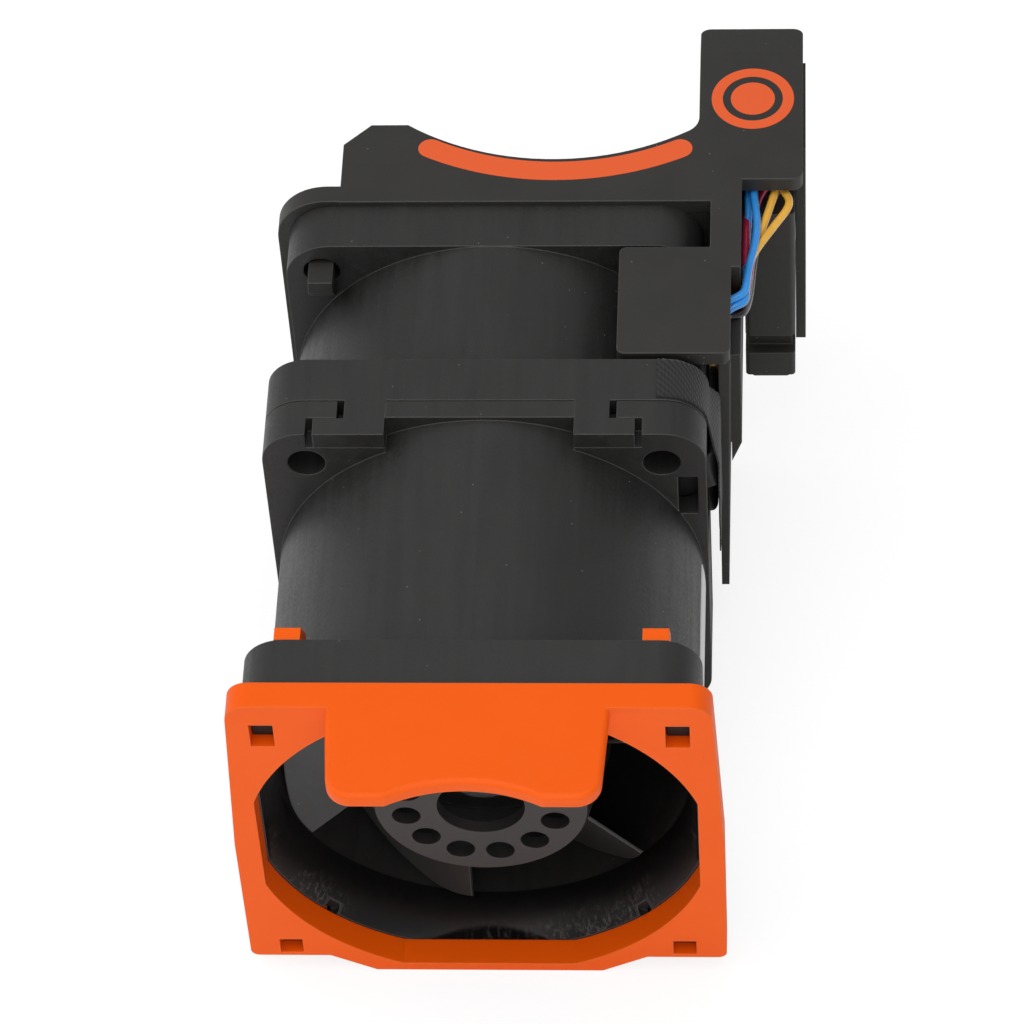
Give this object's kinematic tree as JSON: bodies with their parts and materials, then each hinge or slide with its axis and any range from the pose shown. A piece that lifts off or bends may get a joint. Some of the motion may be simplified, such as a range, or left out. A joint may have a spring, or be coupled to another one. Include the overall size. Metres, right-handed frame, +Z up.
{
  "type": "server fan module",
  "caption": "Hot-swap server fan module: counter-rotating fans in line, an orange inlet bezel with a finger tab, a rear bracket and a blind-mate connector.",
  "frame": {"origin": "middle of the inlet flange's underside, straight below the fans' axis", "axes": "+X to the connector side, +Y along the fans' axis from inlet to outlet, +Z up"},
  "size_m": [0.0506, 0.091, 0.0405],
  "materials": {
    "orange_abs": "fine-grained moulded ABS",
    "black_pbt": "satin moulded glass-filled PBT",
    "black_nylon": "moulded nylon",
    "impeller_plastic": "semi-gloss moulded PBT",
    "steel": "ground steel",
    "zinc_steel": "zinc-plated drawn steel",
    "magnet": "bonded ferrite",
    "laminations": "coated electrical steel",
    "insulator": "natural nylon",
    "copper": "enamelled copper wire",
    "circuit_board": "solder-masked laminate",
    "contact_metal": "plated brass",
    "blue_pvc": "PVC insulation",
    "yellow_pvc": "PVC insulation",
    "red_pvc": "PVC insulation",
    "black_pvc": "PVC insulation",
    "cloth_tape": "woven cloth tape",
    "label": "blank film label"
  },
  "bodies": {
    "module": {"front_bezel": "orange_abs", "front_fan_housing": "black_pbt", "rear_fan_housing": "black_pbt", "rear_bracket": "black_nylon", "front_bearings": "steel", "front_stator_core": "laminations", "front_stator_insulators": "insulator", "front_stator_coils": "copper", "front_circuit_board": "circuit_board", "rear_bearings": "steel", "rear_stator_core": "laminations", "rear_stator_insulators": "insulator", "rear_stator_coils": "copper", "rear_circuit_board": "circuit_board", "connector_housing": "black_nylon", "connector_contacts": "contact_metal", "blue_leads": "blue_pvc", "yellow_leads": "yellow_pvc", "red_leads": "red_pvc", "black_leads": "black_pvc", "cloth_tape": "cloth_tape", "side_label": "label"},
    "front_rotor": {"front_impeller": "impeller_plastic", "front_rotor_cup": "zinc_steel", "front_magnet_ring": "magnet", "front_shaft": "steel", "front_retaining_clip": "steel", "front_spring_washer": "steel"},
    "rear_rotor": {"rear_impeller": "impeller_plastic", "rear_rotor_cup": "zinc_steel", "rear_magnet_ring": "magnet", "rear_shaft": "steel", "rear_retaining_clip": "steel", "rear_spring_washer": "steel"}
  },
  "joints": [
    {"name": "front_rotor_spin", "type": "hinge", "parent": "module", "child": "front_rotor", "pos_m": [0, 0.01, 0.02], "axis": [0, -1, 0], "continuous": true},
    {"name": "rear_rotor_spin", "type": "hinge", "parent": "module", "child": "rear_rotor", "pos_m": [0, 0.042, 0.02], "axis": [0, 1, 0], "continuous": true}
  ]
}
